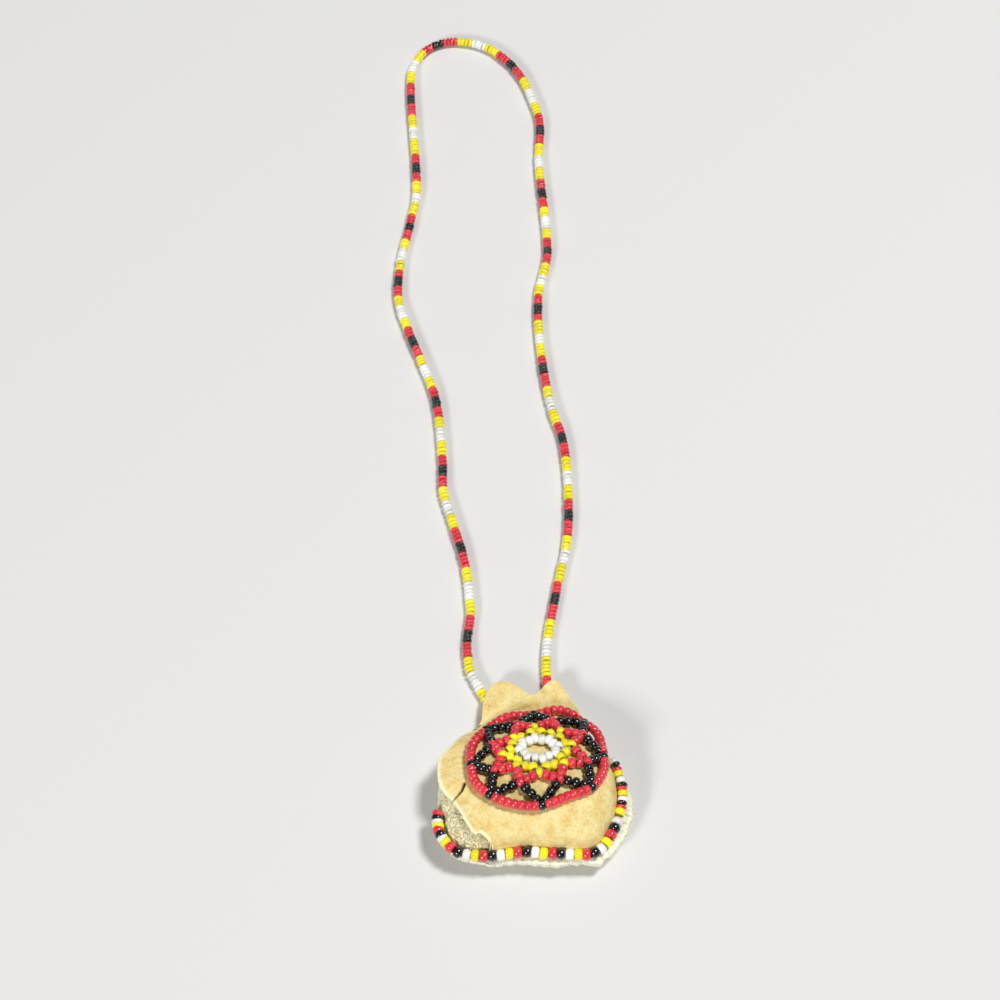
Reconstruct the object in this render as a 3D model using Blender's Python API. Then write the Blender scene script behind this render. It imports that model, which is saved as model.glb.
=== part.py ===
"""Beaded medicine bag: a leather neck pouch with a netted bead rosette.

The pouch lies on its back on z = 0. +X is its right side, its mouth and the
neck strand point along +Y, and the front faces up. All sizes are in metres.
"""

import math

import bpy
import numpy as np

MM = 0.001
GAP = 0.3 * MM

# The pouch: two layers of leather round a soft filling
POUCH_WIDTH = 56.0 * MM
POUCH_LENGTH = 52.0 * MM
POUCH_HEIGHT = 17.5 * MM
SEAM_HEIGHT = 7.6 * MM
NECK_HEIGHT = 3.6 * MM
SEAM_THICKNESS = 2.4 * MM
SIDE_BULGE = 2.4 * MM
SIDE_STEEPNESS = 0.8
SIDE_ANGLE = math.radians(174)
SIDE_SPREAD = (0.8, 0.97)
NECK_SPREAD = (0.45, 0.9)
CROWN_FOOT = -0.5
CROWN_MOUTH = 1.02
CROWN_FALL = 1.8
TOP_FULLNESS = 3.6
REST_SHARE = 0.72
BELLY_SHARES = (1.0, 0.93, 0.84, REST_SHARE)

# How far the seam allowance runs on past the parting line, by angle round the pouch
SEAM_MARGINS = (
    (-35.0, 6.4 * MM), (-15.0, 5.6 * MM), (0.0, 4.2 * MM), (14.0, 2.4 * MM), (35.0, 0.8 * MM),
    (152.0, 0.8 * MM), (175.0, 2.0 * MM), (200.0, 2.9 * MM), (228.0, 3.2 * MM), (248.0, 4.8 * MM),
    (290.0, 5.2 * MM), (306.0, 4.8 * MM),
)

# The front leather with its two ears
LEATHER_THICKNESS = 1.2 * MM
EAR_LENGTH = 11.0 * MM
EAR_CURL = 0.05
STITCHED_SEAM = (-117.0, 46.0)

# Seed beads: the rosette and edging share one size
BEAD_DIAMETER = 3.0 * MM
BEAD_LENGTH = 1.6 * MM
THREAD_DIAMETER = 0.9 * MM
BEAD_SIDES = 6
BEAD_SEAT = 0.5 * MM
DRUM_SHARE = 0.55

# The netted rosette: each round's depth is how far it is worked out from the round inside
# it, and a spacing is how far an arm's end beads stand from its tip bead and its foot
ROSETTE_OFFSET = (2.8 * MM, 5.0 * MM)
ROSETTE_TURN = math.radians(1.0)
ROSETTE_DRAW = 0.94
ROSETTE_POINTS = 8
CENTRE_RING_RADIUS = 5.2 * MM
CENTRE_RING_BEADS = 16
NET_NESTING = 0.2 * MM
STAR_DEPTH = 2.2 * MM
PETAL_DEPTH = 4.8 * MM
PETAL_ARM_BEADS = 2
PETAL_TIP_SPACING = 2.7 * MM
PETAL_FOOT_SPACING = 2.2 * MM
VEE_DEPTH = 7.3 * MM
VEE_ARM_BEADS = 3
VEE_TIP_SPACING = 4.4 * MM
VEE_FOOT_SPACING = 2.0 * MM
RIM_BEADS = 7

# The beaded edge, whip-stitched on round the seam
EDGE_BEADS_RIGHT = 17
EDGE_BEADS_BOTTOM = 18
EDGE_BEADS_LEFT = 8
EDGE_CORNERS = (10.0, -53.0, -137.0, -157.0)
EDGE_INSET = 2.3 * MM

# The neck strand
STRAND_DIAMETER = 3.2 * MM
STRAND_SPACING = 8.3 * MM
KNOT_DIAMETER = 3.2 * MM
KNOT_ANGLES = {"left": 114.0, "right": 77.0}

# Facets: points round the pouch and the front leather, where their rings lie as shares of
# the way out, points to a span of a smooth outline and to a stretch of the edging
POUCH_POINTS = 56
FRONT_POINTS = 72
SEAM_POINTS = 40
RING_SHARES = (0.25, 0.45, 0.62, 0.75, 0.85, 0.92, 0.97, 1.0)
SPAN_POINTS = 12
FRONT_SPAN_POINTS = 6
EDGE_POINTS = 60
SLOPE_STEP = 0.5 * MM

# Outline where the two leathers part, as shares of the pouch's half width and half length
POUCH_OUTLINE = (
    (0.99, -0.16), (0.93, 0.10), (0.83, 0.33), (0.70, 0.56), (0.58, 0.80), (0.44, 0.95),
    (0.06, 1.00), (-0.36, 0.97), (-0.54, 0.78), (-0.71, 0.53), (-0.87, 0.27), (-0.98, 0.01),
    (-0.97, -0.35), (-1.00, -0.54), (-0.97, -0.77), (-0.78, -0.97), (-0.45, -1.01),
    (-0.06, -0.96), (0.34, -0.99), (0.70, -0.98), (0.89, -0.71), (0.98, -0.42),
)

# Top edge of the front leather, right to left: shares of the pouch's half width, and of
# the ears' length from the mouth
EAR_OUTLINE = (
    (0.68, -0.42), (0.57, 0.10), (0.42, 0.70), (0.35, 0.96), (0.28, 1.02),
    (0.20, 0.92), (0.13, 0.70), (0.05, 0.53), (-0.06, 0.66), (-0.20, 0.92),
    (-0.35, 0.98), (-0.45, 0.86), (-0.52, 0.55), (-0.56, 0.05), (-0.59, -0.45),
)

# Free left edge of the front leather, from the ear down to the bottom seam, in shares of
# the pouch's half width and half length
FREE_EDGE = (
    (-0.73, 0.57), (-0.89, 0.29), (-1.05, 0.06), (-1.05, -0.14), (-1.01, -0.29),
    (-0.93, -0.39), (-0.82, -0.56), (-0.72, -0.74), (-0.61, -0.88), (-0.45, -0.96),
)

# Route of the neck strand over the surface, from the left ear round to the right one, in
# millimetres from the pouch's middle
STRAND_ROUTE = (
    (-15.4, 33.6), (-17.4, 37.4), (-20.0, 43.4), (-21.1, 53.5), (-20.0, 66.5), (-22.1, 85.6),
    (-26.2, 101.0), (-29.8, 114.5), (-30.4, 129.5), (-32.9, 153.1), (-38.2, 169.9), (-43.2, 183.7),
    (-47.3, 197.8), (-47.2, 214.5), (-43.6, 235.3), (-41.6, 253.5), (-44.7, 299.5),
    (-43.3, 313.5), (-38.0, 321.5), (-29.6, 325.1), (-19.6, 324.1), (-11.0, 319.1), (-3.0, 309.5),
    (2.2, 297.1), (5.6, 282.5), (5.0, 262.9), (7.6, 231.5), (7.6, 217.0),
    (4.8, 203.5), (4.2, 189.5), (5.8, 168.5), (8.8, 150.1), (12.6, 136.5), (14.2, 117.5),
    (13.6, 94.5), (10.0, 76.4), (6.0, 52.0), (6.2, 36.0),
)

LEATHER_TAN = (0.84, 0.62, 0.29)
LEATHER_ROUGH = (0.72, 0.61, 0.38)
BEAD_COLOURS = {
    "red": (0.68, 0.02, 0.05), "yellow": (0.90, 0.78, 0.02),
    "white": (0.88, 0.86, 0.80), "black": (0.01, 0.01, 0.01),
}


def remove_everything():
    """Start from a scene with no objects."""
    for old in list(bpy.data.objects):
        bpy.data.objects.remove(old, do_unlink=True)


def material(name, colour, roughness):
    """A plain surface of one colour."""
    made = bpy.data.materials.new(name)
    made.use_nodes = True
    shader = made.node_tree.nodes["Principled BSDF"]
    shader.inputs["Base Color"].default_value = (*colour, 1.0)
    shader.inputs["Roughness"].default_value = roughness
    return made


def add_mesh(name, points, faces, surface, smooth=True):
    """One named object from points and faces."""
    mesh = bpy.data.meshes.new(name)
    mesh.from_pydata([tuple(point) for point in points], [], faces)
    mesh.validate()
    mesh.materials.append(surface)
    made = bpy.data.objects.new(name, mesh)
    bpy.context.scene.collection.objects.link(made)
    if smooth:
        mesh.shade_smooth()
        mesh.set_sharp_from_angle(angle=math.radians(50))
    return made


def smooth_curve(points, closed, per_span=SPAN_POINTS):
    """Catmull-Rom curve through the points, as an array of places along it."""
    points = np.array(points, dtype=float)
    if closed:
        knots = np.vstack([points[-1], points, points[0], points[1]])
    else:
        knots = np.vstack([2 * points[0] - points[1], points, 2 * points[-1] - points[-2]])
    t = np.linspace(0, 1, per_span, endpoint=False)[:, None]
    spans = []
    for a, b, c, d in zip(knots[:-3], knots[1:-2], knots[2:-1], knots[3:]):
        spans.append(0.5 * (2 * b + (c - a) * t + (2 * a - 5 * b + 4 * c - d) * t ** 2
                            + (3 * b - a - 3 * c + d) * t ** 3))
    curve = np.vstack(spans)
    return curve if closed else np.vstack([curve, points[-1]])


def along(curve, count):
    """Places at equal steps along a curve, both ends included."""
    steps = np.linalg.norm(np.diff(curve, axis=0), axis=1)
    length = np.concatenate([[0.0], np.cumsum(steps)])
    wanted = np.linspace(0, length[-1], count)
    return np.column_stack([np.interp(wanted, length, column) for column in curve.T])


def blend(low, high, share):
    """From low to high as share goes from 0 to 1."""
    return low + (high - low) * share


def smooth_step(value, start, end):
    """0 before start, 1 after end, rounded between."""
    t = np.clip((value - start) / (end - start), 0.0, 1.0)
    return t * t * (3 - 2 * t)


class Pouch:
    """The filled pouch as a height over its plan, read by everything that lies on it."""

    def __init__(self):
        self.half = np.array([POUCH_WIDTH / 2, POUCH_LENGTH / 2])
        outline = smooth_curve(np.array(POUCH_OUTLINE) * self.half, closed=True)
        angle = np.arctan2(outline[:, 1], outline[:, 0])
        order = np.argsort(angle)
        self.angles = angle[order]
        self.radii = np.hypot(outline[:, 0], outline[:, 1])[order]
        self.margin_angles, self.margins = np.array(SEAM_MARGINS).T

    def parting(self, angle):
        """Distance from the middle to where the two leathers part."""
        return np.interp(angle, self.angles, self.radii, period=2 * math.pi)

    def left_side(self, angle):
        """1 at the bulging left side and 0 round the rest."""
        return smooth_step(np.cos(angle - SIDE_ANGLE), *SIDE_SPREAD)

    def radius(self, angle):
        """Distance from the middle to the rim of the filled top."""
        return self.parting(angle) + SIDE_BULGE * self.left_side(angle)

    def margin(self, angle):
        """How far the flat seam allowance runs on past the parting line."""
        return np.interp(np.degrees(angle), self.margin_angles, self.margins, period=360)

    def neck(self, angle):
        """1 at the mouth end of the pouch and 0 round the rest."""
        return smooth_step(np.sin(angle), *NECK_SPREAD)

    def seam_top(self, angle):
        """Height of the seam allowance's upper face."""
        return blend(SEAM_HEIGHT, NECK_HEIGHT, self.neck(angle))

    def crown(self, y):
        """Height of the filling under the front: full low down, flattening to the mouth."""
        share = np.clip((y / self.half[1] - CROWN_FOOT) / (CROWN_MOUTH - CROWN_FOOT), 0.0, 1.0)
        return POUCH_HEIGHT - (POUCH_HEIGHT - NECK_HEIGHT) * share ** CROWN_FALL

    def rim_height(self, angle):
        """Height of the filled top's rim: just over the seam, and high on the left side."""
        seam = self.seam_top(angle)
        rise = np.maximum(self.crown(self.radius(angle) * np.sin(angle)) - seam, 0.0)
        return seam + GAP + SIDE_STEEPNESS * rise * self.left_side(angle)

    def top(self, x, y):
        """Height of the pouch's front, from z = rim + (crown - rim) * (1 - share^n)^(1/2)."""
        angle = np.arctan2(y, x)
        share = np.clip(np.hypot(x, y) / self.radius(angle), 0.0, 1.0)
        rim = self.rim_height(angle)
        lift = np.maximum(self.crown(y) - rim, 0.0)
        return rim + lift * np.sqrt(1 - share ** TOP_FULLNESS)

    def place(self, angle, share, beyond=0.0):
        """Plan position at a share of the way to the parting line, plus a length beyond it."""
        reach = self.parting(angle) * share + beyond
        return reach * np.cos(angle), reach * np.sin(angle)


def ring_solid(name, rings, surface):
    """A closed solid from rings of points, closed at both ends by a fan to a middle point."""
    count = len(rings[0])
    points = np.vstack([rings[0].mean(axis=0), *rings, rings[-1].mean(axis=0)])
    faces = []
    for j in range(count):
        k = (j + 1) % count
        faces.append((0, 1 + j, 1 + k))
        for i in range(len(rings) - 1):
            a, b = 1 + i * count, 1 + (i + 1) * count
            faces.append((a + j, b + j, b + k, a + k))
        last = 1 + (len(rings) - 1) * count
        faces.append((len(points) - 1, last + k, last + j))
    return add_mesh(name, points, faces, surface)


def make_pouch(pouch, surface):
    """The rough leather pouch: filled body, flat seam allowance and flattened back."""
    angle = np.linspace(0, 2 * math.pi, POUCH_POINTS, endpoint=False)
    rings = []
    for share in RING_SHARES:
        x = pouch.radius(angle) * share * np.cos(angle)
        y = pouch.radius(angle) * share * np.sin(angle)
        rings.append(np.column_stack([x, y, pouch.top(x, y)]))
    seam = pouch.seam_top(angle)
    x, y = pouch.place(angle, 1.0, GAP)
    rings.append(np.column_stack([x, y, seam]))
    x, y = pouch.place(angle, 1.0, pouch.margin(angle))
    rings.append(np.column_stack([x, y, seam]))
    rings.append(np.column_stack([x, y, seam - SEAM_THICKNESS]))
    for share in BELLY_SHARES:
        x, y = pouch.place(angle, share)
        rise = ((share - REST_SHARE) / (1 - REST_SHARE)) ** 2
        rings.append(np.column_stack([x, y, (seam - SEAM_THICKNESS) * rise]))
    body = ring_solid("pouch", rings, surface)
    body.data.vertices[0].co = (0.0, 0.0, pouch.top(0.0, 0.0))
    return body


def front_reach(pouch):
    """Plan outline of the front leather as an angle and a distance from the pouch's middle."""
    low = np.radians(np.linspace(*STITCHED_SEAM, SEAM_POINTS))
    seam_x, seam_y = pouch.place(low, 1.0)
    ears = np.array(EAR_OUTLINE) * (pouch.half[0], EAR_LENGTH) + (0.0, pouch.half[1])
    free = np.array(FREE_EDGE) * pouch.half
    outline = np.vstack([
        np.column_stack([seam_x, seam_y]),
        smooth_curve(np.vstack([ears, free]), closed=False, per_span=FRONT_SPAN_POINTS),
    ])
    angle = np.unwrap(np.arctan2(outline[:, 1], outline[:, 0]))
    return angle, np.hypot(outline[:, 0], outline[:, 1])


def front_height(pouch, x, y):
    """Height of the front leather's under face over the pouch and out along the ears."""
    past = np.maximum(np.hypot(x, y) - pouch.radius(np.arctan2(y, x)), 0.0)
    return pouch.top(x, y) + GAP + EAR_CURL * past


def make_front(pouch, surface):
    """The smooth front leather: one cut sheet with two ears, laid over the filled pouch."""
    angle, reach = front_reach(pouch)
    order = np.argsort(angle % (2 * math.pi))
    around = np.linspace(0, 2 * math.pi, FRONT_POINTS, endpoint=False)
    edge = np.interp(around, (angle % (2 * math.pi))[order], reach[order], period=2 * math.pi)
    lower, upper = [], []
    for share in RING_SHARES:
        x = edge * share * np.cos(around)
        y = edge * share * np.sin(around)
        z = front_height(pouch, x, y)
        lower.append(np.column_stack([x, y, z]))
        upper.append(np.column_stack([x, y, z + LEATHER_THICKNESS]))
    sheet = ring_solid("front_leather", upper + lower[::-1], surface)
    height = front_height(pouch, 0.0, 0.0)
    sheet.data.vertices[0].co = (0.0, 0.0, height + LEATHER_THICKNESS)
    sheet.data.vertices[len(sheet.data.vertices) - 1].co = (0.0, 0.0, height)
    return sheet


def bead_run(name, centres, surface, closed=False, ends=None):
    """Beads strung on their thread as one solid.

    Each bead is a drum with a thread-thick neck halfway to its neighbour. Rings of
    points stand square to the line through a bead's neighbours.
    """
    centres = np.array(centres)
    count = len(centres)
    before = np.roll(centres, 1, axis=0)
    after = np.roll(centres, -1, axis=0)
    if not closed:
        before[0] = 2 * centres[0] - centres[1]
        after[-1] = 2 * centres[-1] - centres[-2]
    if ends is not None:
        before[0], after[-1] = ends
    axis = after - before
    axis /= np.linalg.norm(axis, axis=1)[:, None]
    half = BEAD_LENGTH / 2
    spin = np.linspace(0, 2 * math.pi, BEAD_SIDES, endpoint=False)
    rings = []

    def add_ring(centre, direction, radius):
        side = np.cross((0.0, 0.0, 1.0), direction)
        side /= np.linalg.norm(side)
        up = np.cross(direction, side)
        rings.append(centre + radius * (np.outer(np.cos(spin), side) + np.outer(np.sin(spin), up)))

    if not closed:
        add_ring(centres[0] - axis[0] * half, axis[0], THREAD_DIAMETER / 2)
    for i in range(count):
        add_ring(centres[i] - axis[i] * half * DRUM_SHARE, axis[i], BEAD_DIAMETER / 2)
        add_ring(centres[i] + axis[i] * half * DRUM_SHARE, axis[i], BEAD_DIAMETER / 2)
        if closed or i < count - 1:
            k = (i + 1) % count
            turn = axis[i] + axis[k]
            add_ring((centres[i] + centres[k]) / 2, turn / np.linalg.norm(turn), THREAD_DIAMETER / 2)
    if not closed:
        add_ring(centres[-1] + axis[-1] * half, axis[-1], THREAD_DIAMETER / 2)
        return ring_solid(name, rings[::-1], surface)
    points = np.vstack(rings)
    sides = BEAD_SIDES
    faces = []
    for i in range(len(rings)):
        a, b = i * sides, ((i + 1) % len(rings)) * sides
        for j in range(sides):
            k = (j + 1) % sides
            faces.append((a + j, a + k, b + k, b + j))
    return add_mesh(name, points, faces, surface)


class Net:
    """Lays the flat net of the rosette over the front leather."""

    def __init__(self, pouch):
        self.pouch = pouch

    def surface(self, x, y):
        return front_height(self.pouch, x, y) + LEATHER_THICKNESS

    def lay(self, radius, angle):
        """Bead centre for a flat net radius and angle: the net is drawn in a little lengthways."""
        x = ROSETTE_OFFSET[0] + radius * math.cos(angle + ROSETTE_TURN)
        y = ROSETTE_OFFSET[1] + radius * math.sin(angle + ROSETTE_TURN) * ROSETTE_DRAW
        small = SLOPE_STEP
        slope_x = (self.surface(x + small, y) - self.surface(x - small, y)) / (2 * small)
        slope_y = (self.surface(x, y + small) - self.surface(x, y - small)) / (2 * small)
        lift = (BEAD_DIAMETER / 2 + BEAD_SEAT) * math.sqrt(1 + slope_x ** 2 + slope_y ** 2)
        return np.array([x, y, self.surface(x, y) + lift])

    def flat(self, radius, angle):
        return np.array([radius * math.cos(angle), radius * math.sin(angle)])

    def lay_flat(self, point):
        return self.lay(math.hypot(point[0], point[1]), math.atan2(point[1], point[0]))


def net_radii():
    """Radii of the star's base and tips, the petals' tips and the rim."""
    star_base = CENTRE_RING_RADIUS + BEAD_DIAMETER - NET_NESTING
    star_tip = star_base + STAR_DEPTH
    petal_tip = star_tip + PETAL_DEPTH
    return star_base, star_tip, petal_tip, petal_tip + VEE_DEPTH


def arch(net, foot_radius, tip_radius, tip, half_step, beads, tip_spacing, foot_spacing):
    """Bead centres of one arch of the net: up an arm, over its tip bead and down again."""
    peak = net.flat(tip_radius, tip)
    arms = []
    for side in (1, -1):
        foot = net.flat(foot_radius, tip + side * half_step)
        length = np.linalg.norm(foot - peak)
        way = (foot - peak) / length
        reaches = np.linspace(tip_spacing, length - foot_spacing, beads)
        arms.append([net.lay_flat(peak + way * reach) for reach in reaches])
    return arms[0][::-1] + [net.lay_flat(peak)] + arms[1]


def make_rosette(net, surfaces):
    """The netted rosette: a centre ring, star points, petals, vees and the rim's runs."""
    star_base, star_tip, petal_tip, rim_radius = net_radii()
    ring = [2 * math.pi * i / CENTRE_RING_BEADS for i in range(CENTRE_RING_BEADS)]
    bead_run("rosette_centre_ring", [net.lay(CENTRE_RING_RADIUS, a) for a in ring],
             surfaces["white"], closed=True)
    step = 2 * math.pi / ROSETTE_POINTS
    for i in range(ROSETTE_POINTS):
        tip = i * step
        number = i + 1
        star = [net.lay(star_base, tip - step / 4), net.lay(star_tip, tip),
                net.lay(star_base, tip + step / 4)]
        inner = [net.lay(CENTRE_RING_RADIUS, tip - step / 2), net.lay(CENTRE_RING_RADIUS, tip + step / 2)]
        bead_run(f"rosette_star_point_{number}", star, surfaces["yellow"], ends=inner)
        petal = arch(net, star_tip, petal_tip, tip + step / 2, step / 2, PETAL_ARM_BEADS,
                     PETAL_TIP_SPACING, PETAL_FOOT_SPACING)
        bead_run(f"rosette_petal_{number}", petal, surfaces["red"])
        vee = arch(net, petal_tip, rim_radius, tip, step / 2, VEE_ARM_BEADS,
                   VEE_TIP_SPACING, VEE_FOOT_SPACING)
        bead_run(f"rosette_vee_{number}", vee, surfaces["black"])
        rim = [tip + step * k / (RIM_BEADS + 1) for k in range(1, RIM_BEADS + 1)]
        bead_run(f"rosette_rim_{number}", [net.lay(rim_radius, a) for a in rim], surfaces["red"])


def edge_places(pouch):
    """Bead centres round the seam: down the right side, along the bottom, up the left."""
    counts = (EDGE_BEADS_RIGHT, EDGE_BEADS_BOTTOM, EDGE_BEADS_LEFT)
    places = []
    for start, end, count in zip(EDGE_CORNERS[:-1], EDGE_CORNERS[1:], counts):
        angle = np.radians(np.linspace(start, end, EDGE_POINTS))
        x, y = pouch.place(angle, 1.0, EDGE_INSET)
        z = pouch.seam_top(angle) + GAP + BEAD_DIAMETER / 2
        stretch = along(np.column_stack([x, y, z]), count + 1)
        places.append(stretch[:-1])
    return np.vstack(places)


def knot_place(pouch, side):
    """Middle of a knot that is seated against the edge of the pouch's mouth."""
    angle = math.radians(KNOT_ANGLES[side])
    x, y = pouch.place(angle, 1.0, pouch.margin(angle) + GAP + KNOT_DIAMETER / 2)
    return np.array([x, y, NECK_HEIGHT - KNOT_DIAMETER / 2])


def make_knot(name, centre, surface):
    """The tied end of the strand's thread, as a small round knot."""
    bpy.ops.mesh.primitive_uv_sphere_add(segments=12, ring_count=8, radius=KNOT_DIAMETER / 2)
    made = bpy.context.object
    made.name = name
    made.location = centre
    made.data.materials.append(surface)
    made.data.shade_smooth()
    return made


def make_strand(knots, surface):
    """The neck strand as a round cord from one knot to the other."""
    route = np.array(STRAND_ROUTE) * MM
    route = np.column_stack([route, np.full(len(route), STRAND_DIAMETER / 2 + GAP)])
    ends = []
    for knot, neighbour in zip(knots, (route[0], route[-1])):
        away = (neighbour - knot) / np.linalg.norm(neighbour - knot)
        ends.append(knot + away * (KNOT_DIAMETER / 2 + GAP))
    whole = smooth_curve(np.vstack([ends[0], route, ends[1]]), closed=False)
    length = np.linalg.norm(np.diff(whole, axis=0), axis=1).sum()
    line = along(whole, int(length / STRAND_SPACING) + 1)
    curve = bpy.data.curves.new("neck_strand", "CURVE")
    curve.dimensions = "3D"
    curve.bevel_depth = STRAND_DIAMETER / 2
    curve.bevel_resolution = 2
    curve.use_fill_caps = True
    spline = curve.splines.new("POLY")
    spline.points.add(len(line) - 1)
    for point, place in zip(spline.points, line):
        point.co = (*place, 1.0)
    curve.materials.append(surface)
    made = bpy.data.objects.new("neck_strand", curve)
    bpy.context.scene.collection.objects.link(made)


def centre_on_box():
    """Hang every piece on one empty, which puts the bag's own box over the origin."""
    corners = []
    for piece in bpy.context.scene.objects:
        if not piece.name.startswith(("neck_strand", "strand_knot")):
            corners += [vertex.co for vertex in piece.data.vertices]
    corners = np.array(corners)
    middle = (corners.min(axis=0) + corners.max(axis=0)) / 2
    pieces = list(bpy.context.scene.objects)
    bag = bpy.data.objects.new("beaded_medicine_bag", None)
    bpy.context.scene.collection.objects.link(bag)
    bag.location = (-middle[0], -middle[1], 0.0)
    for piece in pieces:
        piece.parent = bag


def main():
    remove_everything()
    beads = {name: material(f"{name}_glass", colour, 0.15) for name, colour in BEAD_COLOURS.items()}
    thread = material("thread", BEAD_COLOURS["white"], 0.8)
    pouch = Pouch()
    make_pouch(pouch, material("rough_leather", LEATHER_ROUGH, 0.95))
    make_front(pouch, material("tan_leather", LEATHER_TAN, 0.9))
    make_rosette(Net(pouch), beads)
    bead_run("edge_beading", edge_places(pouch), beads["white"])
    knots = [knot_place(pouch, side) for side in KNOT_ANGLES]
    for side, centre in zip(KNOT_ANGLES, knots):
        make_knot(f"strand_knot_{side}", centre, thread)
    make_strand(knots, beads["yellow"])
    centre_on_box()


main()
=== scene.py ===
import math

import bpy
import numpy as np
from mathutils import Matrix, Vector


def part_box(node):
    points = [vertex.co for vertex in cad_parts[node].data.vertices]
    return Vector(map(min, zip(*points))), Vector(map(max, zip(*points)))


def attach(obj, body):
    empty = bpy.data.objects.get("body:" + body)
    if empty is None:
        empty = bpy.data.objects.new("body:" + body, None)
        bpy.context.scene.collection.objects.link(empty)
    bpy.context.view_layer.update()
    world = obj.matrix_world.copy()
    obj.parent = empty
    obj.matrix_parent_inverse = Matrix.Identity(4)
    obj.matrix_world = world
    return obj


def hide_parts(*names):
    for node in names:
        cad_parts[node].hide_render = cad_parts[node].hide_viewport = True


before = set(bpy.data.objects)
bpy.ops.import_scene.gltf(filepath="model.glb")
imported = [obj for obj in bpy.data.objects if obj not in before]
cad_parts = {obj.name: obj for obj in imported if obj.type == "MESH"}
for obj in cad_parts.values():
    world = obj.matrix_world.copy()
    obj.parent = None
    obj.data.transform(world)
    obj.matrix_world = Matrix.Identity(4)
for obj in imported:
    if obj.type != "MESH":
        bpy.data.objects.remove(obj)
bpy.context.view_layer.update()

# Camera: looks down over the bag's lower edge, as a person bending over a table does.
# Every shape below is worked out in millimetres from the pouch's middle, which lies a
# fixed way to the left of and below the middle of the rosette's centre ring.
MM = 0.001
ROSETTE_OFFSET = (2.8, 5.0)
CAMERA_PLACE = (-9.82, -374.33, 779.0)
CAMERA_TILT = math.radians(32)
FOCAL_LENGTH = 93.6

ring_low, ring_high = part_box("rosette_centre_ring")
pouch_middle = np.array([
    (ring_low.x + ring_high.x) / 2 - ROSETTE_OFFSET[0] * MM,
    (ring_low.y + ring_high.y) / 2 - ROSETTE_OFFSET[1] * MM,
    0.0,
])

camera = bpy.data.objects.new("camera", bpy.data.cameras.new("camera"))
bpy.context.scene.collection.objects.link(camera)
camera.location = np.array(CAMERA_PLACE) * MM + pouch_middle
camera.rotation_euler = (CAMERA_TILT, 0.0, 0.0)
camera.data.lens = FOCAL_LENGTH
camera.data.sensor_width = 36.0
bpy.context.scene.camera = camera
bpy.context.scene.view_settings.view_transform = "Standard"


# Rough leather pouch: two sheets of soft hide sewn flesh side out round a soft filling.
# Its seam allowance stands out flat all round, thick with two layers, and the left side
# bulges over it.
POUCH_WIDTH = 56.0
POUCH_LENGTH = 52.0
POUCH_HEIGHT = 17.5
SEAM_HEIGHT = 7.6
NECK_HEIGHT = 3.6
SEAM_THICKNESS = 2.4
SIDE_BULGE = 2.4
SIDE_ANGLE = math.radians(174)
SIDE_STEEPNESS = 0.8
FULLNESS = 3.6
REST_SHARE = 0.72
GAP = 0.3
POUCH_COLUMNS = 640
SEAM_ROUND = 0.5
GROOVE_DEPTH = 0.4
RIDGE_HEIGHT = 0.24
RIDGE_SLANT = np.array([[1.0, 0.3, 0.0], [-0.3, 0.7, 0.25], [0.0, 0.25, 0.55]])
HALF = np.array([POUCH_WIDTH / 2, POUCH_LENGTH / 2])

# Line where the two leathers part, in half widths and half lengths, and the seam allowance
# outside it as an angle and a width
PARTING = (
    (0.99, -0.16), (0.93, 0.10), (0.83, 0.33), (0.70, 0.56), (0.58, 0.80), (0.44, 0.95),
    (0.06, 1.00), (-0.36, 0.97), (-0.54, 0.78), (-0.71, 0.53), (-0.87, 0.27), (-0.98, 0.01),
    (-0.97, -0.35), (-1.00, -0.54), (-0.97, -0.77), (-0.78, -0.97), (-0.45, -1.01),
    (-0.06, -0.96), (0.34, -0.99), (0.70, -0.98), (0.89, -0.71), (0.98, -0.42),
)
SEAM_MARGINS = (
    (-35.0, 6.4), (-15.0, 5.6), (0.0, 4.2), (14.0, 2.4), (35.0, 0.8), (118.0, 0.8),
    (133.0, 2.8), (146.0, 1.6), (152.0, 0.8),
    (175.0, 2.0), (200.0, 2.9), (228.0, 3.2), (248.0, 4.8), (290.0, 5.2), (306.0, 4.8),
)


def smooth_curve(points, closed, per_span=12):
    """Catmull-Rom curve: each span is the cubic through its two points whose slopes are
    half the way between their neighbours."""
    points = np.array(points, dtype=float)
    if closed:
        knots = np.vstack([points[-1], points, points[0], points[1]])
    else:
        knots = np.vstack([2 * points[0] - points[1], points, 2 * points[-1] - points[-2]])
    t = np.linspace(0, 1, per_span, endpoint=False)[None, :, None]
    a, b, c, d = (knots[i:len(knots) - 3 + i, None, :] for i in range(4))
    spans = 0.5 * (2 * b + (c - a) * t + (2 * a - 5 * b + 4 * c - d) * t ** 2
                   + (3 * b - a - 3 * c + d) * t ** 3)
    curve = spans.reshape(-1, points.shape[1])
    return curve if closed else np.vstack([curve, points[-1]])


def step(value, start, end):
    """0 before start and 1 after end, with a smooth cubic between."""
    t = np.clip((value - start) / (end - start), 0.0, 1.0)
    return t * t * (3 - 2 * t)


def waves(points, wavelength, seed, count=16):
    """Sum of plane waves with random directions and phases, about -1 to 1."""
    rng = np.random.default_rng(seed)
    way = rng.normal(size=(3, count))
    way /= np.linalg.norm(way, axis=0)
    length = wavelength * rng.uniform(0.7, 1.4, count)
    phase = rng.uniform(0, 2 * math.pi, count)
    return np.sin(points @ (way * 2 * math.pi / length) + phase).sum(axis=-1) / math.sqrt(count)


def unit(vectors):
    """Vectors of length 1 in the same directions."""
    return vectors / np.maximum(np.linalg.norm(vectors, axis=-1, keepdims=True), 1e-9)


def polar(reach, angle, height=0.0):
    """Places at a reach, an angle and a height from the pouch's middle."""
    x, y = reach * np.cos(angle), reach * np.sin(angle)
    return np.stack(np.broadcast_arrays(x, y, height), axis=-1)


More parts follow.
